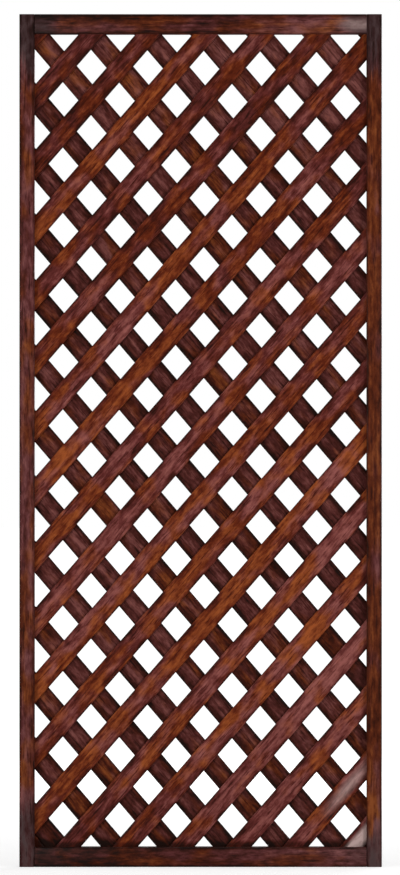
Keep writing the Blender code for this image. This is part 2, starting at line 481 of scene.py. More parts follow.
@dataclass(frozen=True)
class StainedWood:
    """Open-grained red hardwood, planed, stained dark red-brown and brushed with a satin varnish.

    The stain gives a deep, blotchy red-brown that is darker in the pores and at the boards' ends, where the
    wood drinks more of it. The arrises are darker too, partly from stain gathered there and partly from
    painted shade of the rounded edges; on the laths that painted shade lies only along the edges of the
    gaps and not where another lath covers the edge, and a painted highlight pales their middles. Pale
    painted sheen lies on a few spots. The stain drifts between a maroon and an orange cast. Each board
    carries its own coordinates, its place in the log and its tone as attributes of its mesh. The stain's
    colours go from the deepest to the palest.
    """

    name: str
    half_size: Vector
    colours: tuple[str, str, str, str]
    body_light: float
    arris_width: float
    arris_shade: float
    wiped_light: float = 0.0
    trends: tuple[Trend, ...] = ()
    end_length: float = 0.0
    end_shade_low: float = 0.0
    end_shade_high: float = 0.0
    haze_centre: Vector = Vector((0, 0, 0))
    haze_radius: float = 0.0
    haze_strength: float = 0.0
    crossed_by: LathRow | None = None

    # Sizes in the wood, in metres. Real pores are 0.1 to 0.3 mm wide, too fine to show in the render, so
    # they and the flecks are drawn as coarse as they need to show
    sway: Grain = Grain(0.030, 14, 2)
    streaks: Grain = Grain(0.0065, 16, 4, 0.58)
    pores: Grain = Grain(0.0015, 18, 2)
    flecks: Grain = Grain(0.0052, 2.6, 4, 1.32)
    blotches: Grain = Grain(0.055, 1.8, 2, 0.46)
    hues: Grain = Grain(0.024, 2.4, 2)
    grain_roughness: float = 0.68
    ring_spacing: float = 0.0055
    ring_distortion: float = 1.2
    ring_detail: float = 2.0
    ring_detail_scale: float = 0.6
    sway_reach: float = 0.02
    pore_depth: float = 0.00012

    # How far along the log, beside the pith and above or below it a board may have been cut
    log_length: float = 9.0
    beside_pith: float = 0.05
    from_pith: Pair = (0.02, 0.07)

    # How far the rings vary the stain, how much the pores darken it, and the painted level of light at a
    # crossing, which takes the place of the arrises' painted shade and the middle's painted highlight
    ring_light: float = 0.10
    pore_shade: float = 0.30
    crossing_level: float = 0.17

    # Where each of them sets in and where it is full: the pores and the warm cast in their noise, the
    # others in arris widths, half board widths, widths of the crossing lath and end lengths
    pore_steps: Pair = (0.57, 0.67)
    warm_steps: Pair = (0.40, 0.61)
    arris_steps: Pair = (2.0, 0.5)
    wiped_steps: Pair = (0.15, 0.95)
    gap_steps: Pair = (0.30, 0.62)
    end_steps: Pair = (2.7, 2.0)
    end_raggedness: float = 1.5

    # How much warmer the cast is at the crossings than beside the gaps, about what share of a lath lies
    # beside the gaps, which keeps the mean cast about where it was, and how much cooler the ends are
    crossing_warmth: float = 0.07
    gap_share: float = 0.6
    end_coolness: float = 0.30

    # The tints multiply the stain, the ends' one too, and the pale patchy layer is painted sheen, the
    # varnish's reflection painted into the colour
    colour_steps: tuple[float, float, float] = (0.25, 0.5, 0.9)
    cool_tint: str = "E9EBF1"
    warm_tint: str = "F3DA7B"
    end_tint: str = "A0CCD0"
    haze_tone: str = "BAA09B"
    haze_streaks: float = 1.5
    haze_flecks: float = 2.0
    varnish_ior: float = 1.46
    varnish_specular: float = 0.10
    varnish_roughness: float = 0.42
    pore_dullness: float = 0.12
    haze_dullness: float = 0.20
    streak_relief: float = 0.25
    relief_strength: float = 0.7

    def record(self, board: Object, to_board: Matrix, chance: random.Random, tone: StainTone) -> None:
        """Write a board's own coordinates, its place in the log and its tone into its mesh.

        Args:
            board: the finished board.
            to_board: turns a point of the row frame into the board's own coordinates, with X along the
                grain, Y across it and Z through the thickness.
            chance: the seeded source of each board's place in the log.
            tone: how this board took the stain, with the painted sheen on it.
        """
        mesh = board.data
        pith = (
            chance.uniform(-self.log_length, self.log_length),
            chance.uniform(-self.beside_pith, self.beside_pith),
            chance.choice((-1, 1)) * chance.uniform(*self.from_pith),
        )
        values = {"board": [], "log": [], "stain": []}
        for vertex in mesh.vertices:
            values["board"].extend(to_board @ vertex.co)
            values["log"].extend(pith)
            values["stain"].extend((tone.light, tone.warm, tone.haze))
        for name, flat in values.items():
            attribute = mesh.attributes.new(name=name, type="FLOAT_VECTOR", domain="POINT")
            attribute.data.foreach_set("vector", flat)

    def draw_grains(self, add: NodeAdder, place: Node) -> dict[str, Node]:
        """Draw the layers of noise, each with a mean of a half, and the growth rings.

        Args:
            add: adds a node to the material.
            place: a point's place in the log.

        Returns:
            The layers and the rings by name.
        """
        grains = {}
        for name in ("sway", "streaks", "pores", "flecks", "blotches", "hues"):
            grain = getattr(self, name)
            drawn = add("Mapping", {"Vector": place, "Scale": (1 / grain.stretch, 1, 1)})
            # Two patches, a dark one and a light one, fill each unit of the noise
            look = {"Scale": 0.5 / grain.size, "Detail": grain.detail, "Roughness": self.grain_roughness}
            grains[name] = add("TexNoise", {"Vector": drawn, **look})

        # The rings lie round the pith and wander a little along the board
        shift = add(
            "VectorMath", {0: grains["sway"].outputs["Color"], "Scale": self.sway_reach}, operation="SCALE"
        )
        swayed = add("VectorMath", [place, shift], operation="ADD")
        look = {
            "Scale": math.tau / WAVE_FACTOR / self.ring_spacing,
            "Distortion": self.ring_distortion,
            "Detail": self.ring_detail,
            "Detail Scale": self.ring_detail_scale,
        }
        grains["rings"] = add("TexWave", {"Vector": swayed, **look}, wave_type="RINGS", rings_direction="X")
        return grains

    def find_gap_edges(self, add: NodeAdder, spot: NodeSocket) -> Node:
        """Find where a lath of the other layer crosses and where the edge of a gap is, along which the
        arrises' painted shade lies.

        Args:
            add: adds a node to the material.
            spot: a point's place in the row frame.

        Returns:
            A value from 0, at a crossing, to 1, beside a gap.
        """
        row = self.crossed_by
        past = add("VectorMath", [spot, tuple(row.across)], operation="DOT_PRODUCT").outputs["Value"]
        from_first = add("Math", [past, row.first], operation="SUBTRACT")
        from_line = add("Math", [from_first, row.pitch / 2], operation="PINGPONG")
        low, high = (step * row.width for step in self.gap_steps)
        return add("MapRange", {"Value": from_line, "From Min": low, "From Max": high}, **SMOOTH)

    def soak_ends(
        self,
        add: NodeAdder,
        spot: NodeSocket,
        from_end: NodeSocket,
        grains: dict[str, Node],
    ) -> tuple[Node, Node]:
        """Find the board's ends, which soaked up more stain, the upper ones most.

        Args:
            add: adds a node to the material.
            spot: a point's place in the row frame.
            from_end: how far it lies from the board's nearest end.
            grains: the layers of noise.

        Returns:
            How near the end a point is, from 0 to 1, and how much more stain it took.
        """
        for name in ("blotches", "streaks"):
            ragged = [grains[name], self.end_raggedness * self.end_length, from_end]
            from_end = add("Math", ragged, operation="MULTIPLY_ADD")
        low, high = (step * self.end_length for step in self.end_steps)
        near_end = add("MapRange", {"Value": from_end, "From Min": low, "From Max": high}, **SMOOTH)
        height = add("SeparateXYZ", [spot]).outputs["Z"]
        shades = {"To Min": self.end_shade_low, "To Max": self.end_shade_high}
        strength = add("MapRange", {"Value": height, "From Max": ScreenSizes.height, **shades})
        uneven = add("Math", [grains["streaks"], grains["flecks"]], operation="ADD")
        uneven = add("Math", [uneven, near_end], operation="MULTIPLY")
        return near_end, add("Math", [uneven, strength], operation="MULTIPLY", use_clamp=True)

    def make(self) -> Material:
        """Build the finish's node tree.

        Returns:
            The material.
        """
        material, add, shader = new_material(self.name)
        board, log, stain = (
            add("Attribute", attribute_name=name).outputs["Vector"] for name in ("board", "log", "stain")
        )
        tone = add("SeparateXYZ", [stain]).outputs
        spot = add("TexCoord").outputs["Object"]
        grains = self.draw_grains(add, add("VectorMath", [board, log], operation="ADD"))

        # How far a point lies from the nearest arris, measured over the board's faces, and from the end
        size = self.half_size
        reach = add("VectorMath", [board], operation="ABSOLUTE")
        inside = add("VectorMath", [tuple(size), reach], operation="SUBTRACT")
        inset = add("SeparateXYZ", [inside]).outputs
        to_arris = add("Math", [inset["Y"], inset["Z"]], operation="ADD")
        ragged = add("Math", [grains["streaks"], self.arris_width, to_arris], operation="MULTIPLY_ADD")
        from_sheen = add("VectorMath", [spot, tuple(self.haze_centre)], operation="DISTANCE")

        # Smooth steps from 0 at the first value to 1 at the second
        steps = {}
        for name, value, (low, high), unit in (
            ("pore", grains["pores"], self.pore_steps, 1.0),
            ("arris", ragged, self.arris_steps, self.arris_width),
            ("painted_middle", to_arris, self.wiped_steps, size.y),
            ("sheen_spot", from_sheen.outputs["Value"], (1.0, 0.0), self.haze_radius),
        ):
            span = {"From Min": low * unit, "From Max": high * unit}
            steps[name] = add("MapRange", {"Value": value, **span}, **SMOOTH)

        # Painted shade on the arrises, partly stain gathered there, and a painted highlight on the middle,
        # which give way to a set painted level where a lath of the other layer crosses. The cast is warmer
        # there, and cooler at the ends that soaked up more stain
        painted_edge_light = add("Math", [steps["painted_middle"], self.wiped_light], operation="MULTIPLY")
        painted_edge_light = add("Math", [steps["arris"], -self.arris_shade, painted_edge_light], operation="MULTIPLY_ADD")
        hue = add("Math", [grains["hues"], tone["Y"]], operation="ADD")
        if self.crossed_by:
            beside_gap = self.find_gap_edges(add, spot)
            above = add("Math", [painted_edge_light, self.crossing_level], operation="SUBTRACT")
            painted_edge_light = add("Math", [above, beside_gap, self.crossing_level], operation="MULTIPLY_ADD")
            hue = add("Math", [beside_gap, -self.crossing_warmth, hue], operation="MULTIPLY_ADD")
            hue = add("Math", [hue, self.gap_share * self.crossing_warmth], operation="ADD")
        soaked = 0.0
        if self.end_length:
            near_end, soaked = self.soak_ends(add, spot, inset["X"], grains)
            hue = add("Math", [near_end, -self.end_coolness, hue], operation="MULTIPLY_ADD")
        span = dict(zip(("From Min", "From Max"), self.warm_steps))
        warm = add("MapRange", {"Value": hue, **span}, **SMOOTH)

        # Where the stain is light or dark, with the trends' painted changes of brightness added
        weights = {"rings": self.ring_light}
        weights.update((name, getattr(self, name).light) for name in ("streaks", "flecks", "blotches"))
        light = add("Math", [tone["X"], self.body_light - sum(weights.values()) / 2], operation="ADD")
        for trend in self.trends:
            along = add("VectorMath", [spot, tuple(trend.direction)], operation="DOT_PRODUCT")
            span = {"From Min": trend.start, "From Max": trend.end, "To Max": trend.light}
            gain = add("MapRange", {"Value": along.outputs["Value"], **span}, **SMOOTH)
            light = add("Math", [light, gain], operation="ADD")
        layers = [(grains[name], weight) for name, weight in weights.items()]
        for value, weight in (*layers, (steps["pore"], -self.pore_shade), (painted_edge_light, 1.0)):
            light = add("Math", [value, weight, light], operation="MULTIPLY_ADD")
        ramp = add("ValToRGB", {"Fac": light})
        band = ramp.color_ramp.elements
        band.remove(band[1])
        band[0].position = 0.0
        band[0].color = linear_colour(self.colours[0])
        for position, colour in zip(self.colour_steps, self.colours[1:]):
            band.new(position).color = linear_colour(colour)

        # The cast, the soaked ends and the painted sheen, laid over each other in that order
        casts = {MIX_A: linear_colour(self.cool_tint), MIX_B: linear_colour(self.warm_tint)}
        tint = add("Mix", {0: warm, **casts}, data_type="RGBA").outputs[MIX_RESULT]
        # Painted sheen: a pale patch round a set spot and on single boards, the varnish's reflection
        # painted into the colour
        haze = add("Math", [steps["sheen_spot"], self.haze_strength, tone["Z"]], operation="MULTIPLY_ADD")
        haze = add("Math", [haze, steps["painted_middle"]], operation="MULTIPLY")
        for name, weight in (("streaks", self.haze_streaks), ("flecks", self.haze_flecks)):
            patchy = add("Math", [grains[name], weight, 1 - weight / 2], operation="MULTIPLY_ADD")
            haze = add("Math", [haze, patchy], operation="MULTIPLY", use_clamp=True)
        colour = ramp.outputs[0]
        for blend, share, layer in (
            ("MULTIPLY", 1.0, tint),
            ("MULTIPLY", soaked, linear_colour(self.end_tint)),
            ("MIX", haze, linear_colour(self.haze_tone)),
        ):
            laid = add("Mix", {0: share, MIX_A: colour, MIX_B: layer}, data_type="RGBA", blend_type=blend)
            colour = laid.outputs[MIX_RESULT]

        # The varnish is duller in the pores and under the painted sheen, and the pores and streaks stay as
        # relief
        rough = [steps["pore"], self.pore_dullness, self.varnish_roughness]
        rough = add("Math", rough, operation="MULTIPLY_ADD")
        rough = add("Math", [haze, self.haze_dullness, rough], operation="MULTIPLY_ADD")
        filled = add("Math", [1.0, steps["pore"]], operation="SUBTRACT")
        relief = add("Math", [grains["streaks"], self.streak_relief, filled], operation="MULTIPLY_ADD")
        look = {"Distance": self.pore_depth, "Strength": self.relief_strength}
        bump = add("Bump", {"Height": relief, **look})
        feed(shader, {"Base Color": colour, "Roughness": rough, "Normal": bump})
        feed(shader, {"IOR": self.varnish_ior, "Specular IOR Level": self.varnish_specular})
        return material


@dataclass(frozen=True)
class ZincPlatedSteel:
    """Drawn or turned steel with a thin bright zinc coat, which greys in soft cloudy patches outdoors."""

    name: str
    bright: str = "B9B7B0"
    dull: str = "85837E"
    patch_size: float = 0.0015
    patch_detail: float = 3.0
    roughness: float = 0.32
    roughness_spread: float = 0.2
    relief_depth: float = 0.00003
    relief_strength: float = 0.5

    def make(self) -> Material:
        """Build the finish's node tree.

        Returns:
            The material.
        """
        material, add, shader = new_material(self.name)
        spot = add("TexCoord").outputs["Object"]
        look = {"Scale": 0.5 / self.patch_size, "Detail": self.patch_detail}
        clouds = add("TexNoise", {"Vector": spot, **look})
        shades = {MIX_A: linear_colour(self.dull), MIX_B: linear_colour(self.bright)}
        colour = add("Mix", {0: clouds, **shades}, data_type="RGBA").outputs[MIX_RESULT]
        spread = self.roughness_spread
        rough = add("Math", [clouds, spread, self.roughness - spread / 2], operation="MULTIPLY_ADD")
        look = {"Distance": self.relief_depth, "Strength": self.relief_strength}
        bump = add("Bump", {"Height": clouds, **look})
        feed(shader, {"Base Color": colour, "Roughness": rough, "Normal": bump, "Metallic": 1.0})
        return material


@dataclass
class Screw:
    """A countersunk wood screw with a cross recess, driven in through a stile's outer edge."""

    sizes: ScreenSizes
    length: float = 0.070
    shank_radius: float = 0.0022
    head_radius: float = 0.0042
    head_height: float = 0.0028
    head_round: float = 0.0002
    point_length: float = 0.007
    sink: float = 0.0006
    spacing: float = 0.014
    sides: int = 48
    cross_span: float = 0.0046
    cross_width: float = 0.0012
    cross_depth: float = 0.0016
    cross_taper: float = 0.55
    overrun: float = 0.003
    crisp_angle: float = math.radians(30)

    def turn(self, name: str, gap: float) -> Object:
        """Turn the shank and the head, with the head's face at Z = 0 and the point downwards.

        Args:
            name: the piece's name.
            gap: how much wider the shape is all round; a shape with a gap is the screw's hole.

        Returns:
            The turned shape.
        """
        top = self.overrun if gap else 0.0
        head = self.head_radius + gap
        shank = self.shank_radius + gap
        bpy.ops.mesh.primitive_circle_add(
            vertices=self.sides, radius=head, fill_type="NGON", location=(0, 0, top)
        )
        piece = open_blank(name)
        if gap:
            draw_out(-top * Z_AXIS)
        draw_out(-self.head_height * Z_AXIS)
        self.narrow(shank / head, -self.head_height)
        draw_out(-(self.length - self.head_height - self.point_length) * Z_AXIS)
        draw_out(-self.point_length * Z_AXIS)
        bpy.ops.mesh.merge(type="CENTER")
        if not gap:
            round_off(Element.EDGES, lambda at: abs(at.z) < SAME_PLACE, self.head_round)
        close_up(piece, self.crisp_angle)
        return piece

    def narrow(self, factor: float, height: float) -> None:
        """Scale what is selected, at one height, towards the screw's axis by a factor."""
        bpy.ops.transform.resize(value=(factor, factor, 1), center_override=(0, 0, height))

    def cross(self) -> Object:
        """Shape the plug that cuts the cross recess.

        Returns:
            The plug, which tapers downwards from just above the head's face.
        """
        above = self.cross_depth / 4
        span = self.cross_span
        bpy.ops.mesh.primitive_grid_add(
            x_subdivisions=3, y_subdivisions=3, size=span, location=(0, 0, above)
        )
        plug = open_blank("cross_plug")
        squeeze = 3 * self.cross_width / span
        pick(Element.VERTICES, lambda at: abs(at.x) < span / 3)
        bpy.ops.transform.resize(value=(squeeze, 1, 1), center_override=(0, 0, above))
        pick(Element.VERTICES, lambda at: abs(at.y) < span / 3)
        bpy.ops.transform.resize(value=(1, squeeze, 1), center_override=(0, 0, above))
        arm = self.cross_width / 2
        pick(Element.FACES, lambda at: abs(at.x) > arm and abs(at.y) > arm)
        bpy.ops.mesh.delete(type="FACE")
        pick_all()
        draw_out(-(above + self.cross_depth) * Z_AXIS)
        self.narrow(self.cross_taper, -self.cross_depth)
        close_up(plug)
        return plug

    def drive(self, shape: Object, side: Side, height: float) -> None:
        """Put a turned shape in its place in a stile's outer edge.

        Args:
            shape: a screw or its hole, as turned.
            side: the stile's side.
            height: the height of the screw's axis.
        """
        shape.rotation_euler = (0, side.value * math.pi / 2, 0)
        shape.location = (side.value * (self.sizes.width / 2 - self.sink), 0, height)
        settle(shape)

    def make(self, finish: ZincPlatedSteel) -> list[Object]:
        """Make all the screws.

        Args:
            finish: the screws' metal.

        Returns:
            The cutters of their holes, which the caller throws away.
        """
        sizes = self.sizes
        pattern = self.turn("screw_pattern", 0.0)
        plug = self.cross()
        cut_away(pattern, plug)
        bpy.ops.object.shade_smooth_by_angle(angle=self.crisp_angle)
        pattern.data.materials.append(finish.make())
        bore = self.turn("bore_pattern", sizes.fit_gap)
        to_tongue = sizes.middle_height - (sizes.rail_width - sizes.groove_depth) / 2
        holes = []
        for side, rail, (place, step) in product(Side, Level, (("lower", -0.5), ("upper", 0.5))):
            height = sizes.middle_height + rail.value * to_tongue + step * self.spacing
            node = f"screw_{rail.name}_{side.name}_{place}".lower()
            screw = copy_of(pattern, node + "_zinc")
            self.drive(screw, side, height)
            hand_over(screw, "screw_steel", node)
            holes.append(copy_of(bore, node + "_hole"))
            self.drive(holes[-1], side, height)
        for shape in (pattern, plug, bore):
            throw_away(shape)
        return holes


@dataclass
class FrameMember(ABC):
    """A stile or a rail: a rounded board with a groove along its inner edge.

    Across and along are the board's axes in the screen's plane.
    """

    sizes: ScreenSizes
    place: Side | Level
    across: Vector = X_AXIS
    along: Vector = Z_AXIS
    arris_round: float = 0.0028
    end_round: float = 0.0008
    round_steps: int = 4

    @property
    @abstractmethod
    def edges(self) -> Pair:
        """Where the inner and the outer edge lie on the axis across the board."""

    @property
    @abstractmethod
    def ends(self) -> Pair:
        """Where the two ends lie on the axis along the board."""

    @property
    def node(self) -> str:
        """The CAD node that the board stands for."""
        return f"{type(self).__name__.lower()}_{self.place.name.lower()}"

    @property
    def groove_floor(self) -> float:
        """Where the groove's floor lies on the axis across the board."""
        return self.edges[0] + self.place.value * self.sizes.groove_depth

    def mill(self) -> Object:
        """Draw the board's section with its groove, draw it out to its length and round it.

        Returns:
            The board, open in edit mode.
        """
        sizes, across, along = self.sizes, self.across, self.along
        inner, outer = self.edges
        start, end = self.ends
        sign, floor, groove = self.place.value, self.groove_floor, sizes.groove_half_width
        bpy.ops.mesh.primitive_plane_add(
            size=1,
            location=(inner + outer) / 2 * across + start * along,
            rotation=(0, along.x * math.pi / 2, 0),
        )
        board = open_blank(self.node + "_stained", (abs(outer - inner), sizes.depth, 1))
        for y in (-groove, groove):
            score(y * Y_AXIS, Y_AXIS)
        score(floor * across, across)
        pick(Element.FACES, lambda at: abs(at.y) < groove and sign * (at.dot(across) - floor) < 0)
        bpy.ops.mesh.delete(type="FACE")
        pick_all()
        bpy.ops.mesh.dissolve_faces()
        round_off(
            Element.VERTICES,
            lambda at: lies_on(abs(at.y), (sizes.depth / 2,)) and lies_on(at.dot(across), (inner, outer)),
            self.arris_round,
            self.round_steps,
        )
        pick_all()
        draw_out((end - start) * along)
        round_off(Element.EDGES, lambda at: lies_on(at.dot(along), (start, end)), self.end_round)
        return board

    def shape_ends(self) -> None:
        """Leave the ends plain, as a stile's are."""

    def make(
        self, finish: StainedWood, holes: list[Object], chance: random.Random, tone: StainTone
    ) -> None:
        """Make the board, bore the screws' holes in it and give it its finish.

        Args:
            finish: the board's wood.
            holes: the cutters of all the screws' holes.
            chance: the seeded source of the board's place in the log.
            tone: how the board took the stain.
        """
        board = self.mill()
        self.shape_ends()
        close_up(board)
        for hole in holes:
            if f"_{self.place.name.lower()}_" in hole.name:
                cut_away(board, hole)
        bpy.ops.object.shade_smooth_by_angle(angle=CRISP_ANGLE)
        middle = sum(self.edges) / 2 * self.across + sum(self.ends) / 2 * self.along
        axes = Matrix((self.along, self.across, Y_AXIS)).to_4x4()
        finish.record(board, axes @ Matrix.Translation(-middle), chance, tone)
        board.data.materials.clear()
        board.data.materials.append(finish.make())
        hand_over(board, "frame_wood", self.node)


@dataclass
class Stile(FrameMember):
    """An upright of the frame."""

    @property
    def edges(self) -> Pair:
        """Where the inner and the outer edge lie on the X axis."""
        return self.place.value * self.sizes.opening_half_width, self.place.value * self.sizes.width / 2

    @property
    def ends(self) -> Pair:
        """Where the foot and the top lie on the Z axis."""
        return 0.0, self.sizes.height


@dataclass
class Rail(FrameMember):
    """A cross member between the stiles, with a tongue at each end."""

    across: Vector = Z_AXIS
    along: Vector = X_AXIS
    end_round: float = 0.0003

    @property
    def edges(self) -> Pair:
        """Where the inner and the outer edge lie on the Z axis."""
        inner = self.sizes.middle_height + self.place.value * self.sizes.opening_height / 2
        return inner, inner + self.place.value * self.sizes.rail_width

    @property
    def ends(self) -> Pair:
        """Where the two shoulders lie on the X axis."""
        shoulder = self.sizes.opening_half_width - self.sizes.fit_gap
        return -shoulder, shoulder

    def shape_ends(self) -> None:
        """Pull a tongue out of each end."""
        sizes, sign, floor = self.sizes, self.place.value, self.groove_floor
        half_tongue = sizes.groove_half_width - sizes.fit_gap
        for side, end in zip(Side, self.ends):
            for point, normal in (
                (-half_tongue * Y_AXIS, Y_AXIS),
                (half_tongue * Y_AXIS, Y_AXIS),
                ((floor + sign * self.end_round) * Z_AXIS, Z_AXIS),
            ):
                pick(Element.FACES, lambda at: lies_on(at.x, (end,)))
                score(point, normal)
            pick(
                Element.FACES,
                lambda at: lies_on(at.x, (end,)) and abs(at.y) < half_tongue and sign * (at.z - floor) > 0,
            )
            draw_out(side.value * (sizes.groove_reach + sizes.fit_gap) * X_AXIS)


@dataclass
class LathLayer:
    """One layer of parallel laths, whose ends sit in the frame's grooves.

    The crown's fall gives places across a lath, in half widths from its middle, and how much of the crown
    is lost there. Lights and warmths are the tones of single boards, and sheens the painted sheen on them,
    by their numbers from 1 up.
    """

    sizes: ScreenSizes
    layer: Layer
    width: float
    angle: float
    first_inset: float
    last_inset: float
    count: int = 19
    arris_round: float = 0.0021
    round_steps: int = 4
    crown: float = 0.0005
    crown_fall: tuple[Pair, ...] = ((0.35, 0.12), (0.7, 0.49), (1.0, 1.0))
    strip_width: float = 0.0
    corner_reach: float = 0.0
    lights: dict[int, float] = field(default_factory=dict)
    warmths: dict[int, float] = field(default_factory=dict)
    hazes: dict[int, float] = field(default_factory=dict)
    light_spread: float = 0.045
    warm_spread: float = 0.03

    @property
    def name(self) -> str:
        """What the layer's nodes, pattern and material slot begin with."""
        return f"{self.layer.name.lower()}_lath"

    @property
    def across(self) -> Vector:
        """The direction square across the laths, from the left ones to the right ones."""
        direction = Vector((math.sin(self.angle), 0, -math.cos(self.angle)))
        return direction if direction.x > 0 else -direction

    def distance(self, number: int) -> float:
        """Find how far a lath's centre line lies from the opening's middle.

        Args:
            number: the lath's number, counted from 0 at the left.

        Returns:
            The distance along the direction across the laths.
        """
        sizes, across = self.sizes, self.across
        half_spread = sizes.opening_half_width * abs(across.x) + sizes.opening_height * abs(across.z) / 2
        first = self.first_inset - half_spread
        last = half_spread - self.last_inset
        return first + (last - first) * number / (self.count - 1)

    def row(self) -> LathRow:
        """Describe the layer's centre lines.

        Returns:
            The row, measured from the row frame's origin.
        """
        lift = self.across.z * self.sizes.middle_height
        first, second = self.distance(0), self.distance(1)
        return LathRow(self.across, first + lift, second - first, self.width)

    def pattern(self, width: float) -> Object:
        """Shape a lath of more than the full length, crowned on its outer face.

        Args:
            width: the lath's width.

        Returns:
            The pattern, along X with its middle at the origin.
        """
        half_width = width / 2
        length = 2 * (self.sizes.width + self.sizes.height)
        outwards = self.layer.value
        bpy.ops.mesh.primitive_plane_add(
            size=1, location=(-length / 2, 0, 0), rotation=(0, math.pi / 2, 0)
        )
        lath = open_blank(self.name + "_pattern", (width, self.sizes.lath_thickness, 1))
        for share, _ in self.crown_fall[:-1]:
            for z in (-share * half_width, share * half_width):
                score(z * Z_AXIS, Z_AXIS)
        bpy.ops.mesh.dissolve_faces()
        for share, drop in self.crown_fall:
            pick(
                Element.VERTICES,
                lambda at: at.y * outwards > 0 and abs(abs(at.z) - share * half_width) < SAME_PLACE,
            )
            bpy.ops.transform.translate(value=(0, -outwards * drop * self.crown, 0))
        round_off(
            Element.VERTICES,
            lambda at: abs(abs(at.z) - half_width) < SAME_PLACE,
            self.arris_round,
            self.round_steps,
        )
        pick_all()
        draw_out(length * X_AXIS)
        face_outwards(lath)
        return lath

    def saw(self, lath: Object) -> None:
        """Saw a lath that is in its place along the floors of the frame's grooves.

        Args:
            lath: the lath, which ends up just short of the grooves' floors.
        """
        sizes = self.sizes
        reach_x = sizes.opening_half_width + sizes.groove_reach
        reach_z = sizes.opening_height / 2 + sizes.groove_reach
        middle = sizes.middle_height * Z_AXIS
        take_up(lath)
        bpy.ops.object.mode_set(mode="EDIT")
        cuts = ((X_AXIS, reach_x), (-X_AXIS, reach_x), (Z_AXIS, reach_z), (-Z_AXIS, reach_z))
        for outward, reach in cuts:
            pick_all()
            bpy.ops.mesh.bisect(
                plane_co=middle + outward * reach, plane_no=outward, use_fill=True, clear_outer=True
            )
        face_outwards(lath)
        bpy.ops.object.shade_smooth_by_angle(angle=CRISP_ANGLE)

    def boards(self) -> Iterator[tuple[str, float, float]]:
        """Go through the layer's boards: the laths and then the strip, where there is one.

        The last lath is as much wider on its outer side as closes the opening's corner, and the strip bears
        on the first lath, so that no light shows beside either.

        Yields:
            The board's CAD node, how far its centre line lies from the opening's middle, and its width.
        """
        for number in range(self.count):
            extra = self.corner_reach if number == self.count - 1 else 0.0
            yield f"{self.name}_{number + 1:02d}", self.distance(number) + extra / 2, self.width + extra
        if self.strip_width:
            full_width = self.strip_width + self.sizes.fit_gap
            yield "corner_strip", self.distance(0) - (self.width + full_width) / 2, full_width

    def make(self, finish: StainedWood, chance: random.Random) -> None:
        """Lay all the boards of the layer in their places, saw them and dress them.

        Args:
            finish: the laths' wood.
            chance: the seeded source of each board's tone and place in the log.
        """
        material = finish.make()
        axes = Matrix((X_AXIS, Z_AXIS, Y_AXIS)).to_4x4()
        middle = Vector((0, self.layer.value * self.sizes.layer_offset, self.sizes.middle_height))
        turn = Matrix.Rotation(-self.angle, 4, "Y")
        patterns = {}
        for number, (node, distance, width) in enumerate(self.boards(), start=1):
            if width not in patterns:
                patterns[width] = self.pattern(width)
                patterns[width].data.materials.append(material)
            lath = copy_of(patterns[width], node + "_stained")
            place = Matrix.Translation(middle + self.across * distance) @ turn
            lath.matrix_world = place
            settle(lath)
            self.saw(lath)
            light = self.lights.get(number, 0.0) + chance.gauss(0, self.light_spread)
            warm = self.warmths.get(number, 0.0) + chance.gauss(0, self.warm_spread)
            tone = StainTone(light, warm, self.hazes.get(number, 0.0))
            finish.record(lath, axes @ place.inverted(), chance, tone)
            hand_over(lath, self.name + "_wood", node)
        for pattern in patterns.values():
            throw_away(pattern)


